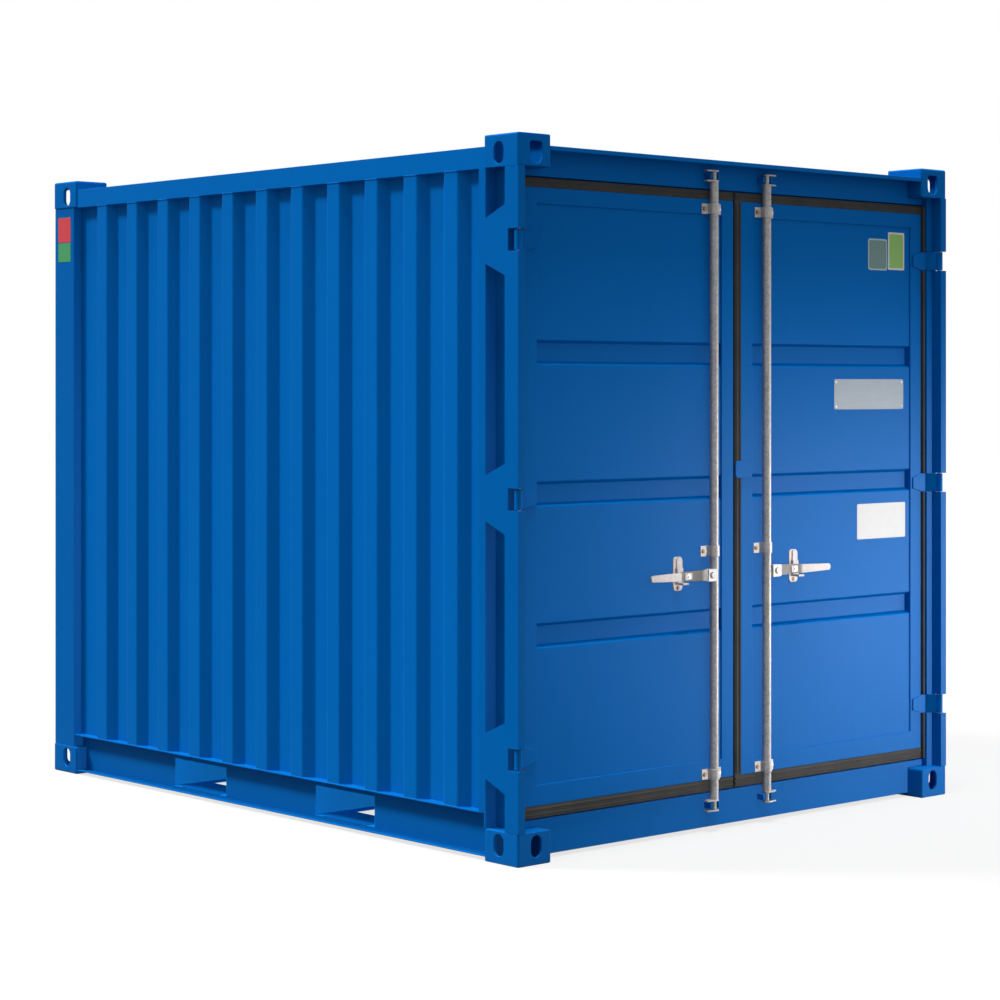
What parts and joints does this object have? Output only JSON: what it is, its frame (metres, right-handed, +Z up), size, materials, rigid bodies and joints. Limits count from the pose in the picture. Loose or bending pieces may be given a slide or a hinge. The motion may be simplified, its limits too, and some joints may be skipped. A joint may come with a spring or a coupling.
{
  "type": "shipping container",
  "caption": "Short steel shipping container with corrugated walls, corner castings, fork pockets and two hinged doors closed by lock rods with cams and lift-up handles.",
  "frame": {"origin": "centre of the base, on the floor under the bottom corner castings", "axes": "+Z up, +Y along the container from the door end to the closed end, +X to the right as seen facing the doors"},
  "size_m": [2.438, 2.991, 2.591],
  "materials": {
    "blue_paint": "smooth semi-gloss blue paint on steel sheet",
    "zinc_steel": "zinc-plated steel",
    "bare_steel": "plain steel",
    "door_rubber": "matt black rubber",
    "plywood": "sealed plywood"
  },
  "bodies": {
    "frame": {"top_corner_castings": "blue_paint", "bottom_corner_castings": "blue_paint", "left_door_post": "blue_paint", "right_door_post": "blue_paint", "left_rear_post": "blue_paint", "right_rear_post": "blue_paint", "door_header": "blue_paint", "door_sill": "blue_paint", "rear_top_rail": "blue_paint", "rear_bottom_rail": "blue_paint", "left_top_rail": "blue_paint", "right_top_rail": "blue_paint", "left_bottom_rail": "blue_paint", "right_bottom_rail": "blue_paint", "left_wall": "blue_paint", "right_wall": "blue_paint", "rear_wall": "blue_paint", "roof": "blue_paint", "floor": "plywood", "floor_cross_members": "blue_paint", "front_fork_pocket": "blue_paint", "rear_fork_pocket": "blue_paint", "top_cam_keepers": "blue_paint", "bottom_cam_keepers": "blue_paint", "left_hinge_pins": "bare_steel", "right_hinge_pins": "bare_steel"},
    "left_door": {"left_door_frame": "blue_paint", "left_door_panel": "blue_paint", "left_door_gasket": "door_rubber", "left_hinge_straps": "blue_paint", "left_rod_brackets": "zinc_steel", "left_handle_retainer": "zinc_steel"},
    "right_door": {"right_door_frame": "blue_paint", "right_door_panel": "blue_paint", "right_door_gasket": "door_rubber", "right_hinge_straps": "blue_paint", "right_rod_brackets": "zinc_steel", "right_handle_retainer": "zinc_steel", "overlap_tab": "blue_paint"},
    "left_lock_rod": {"left_lock_rod": "zinc_steel", "left_rod_cams": "zinc_steel"},
    "right_lock_rod": {"right_lock_rod": "zinc_steel", "right_rod_cams": "zinc_steel"},
    "left_handle": {"left_handle": "zinc_steel"},
    "right_handle": {"right_handle": "zinc_steel"}
  },
  "joints": [
    {"name": "left_door_swing", "type": "hinge", "parent": "frame", "child": "left_door", "pos_m": [-1.199, -1.4755, 1.301], "axis": [0, 0, -1], "range_deg": [0, 265]},
    {"name": "right_door_swing", "type": "hinge", "parent": "frame", "child": "right_door", "pos_m": [1.199, -1.4755, 1.301], "axis": [0, 0, 1], "range_deg": [0, 265]},
    {"name": "left_rod_turn", "type": "hinge", "parent": "left_door", "child": "left_lock_rod", "pos_m": [-0.151, -1.4485, 1.301], "axis": [0, 0, -1], "range_deg": [-95, 0]},
    {"name": "right_rod_turn", "type": "hinge", "parent": "right_door", "child": "right_lock_rod", "pos_m": [0.151, -1.4485, 1.301], "axis": [0, 0, 1], "range_deg": [-95, 0]},
    {"name": "left_handle_lift", "type": "hinge", "parent": "left_lock_rod", "child": "left_handle", "pos_m": [-0.186, -1.4655, 0.978], "axis": [0, -1, 0], "range_deg": [-25, 0]},
    {"name": "right_handle_lift", "type": "hinge", "parent": "right_lock_rod", "child": "right_handle", "pos_m": [0.186, -1.4655, 0.978], "axis": [0, 1, 0], "range_deg": [-25, 0]}
  ]
}
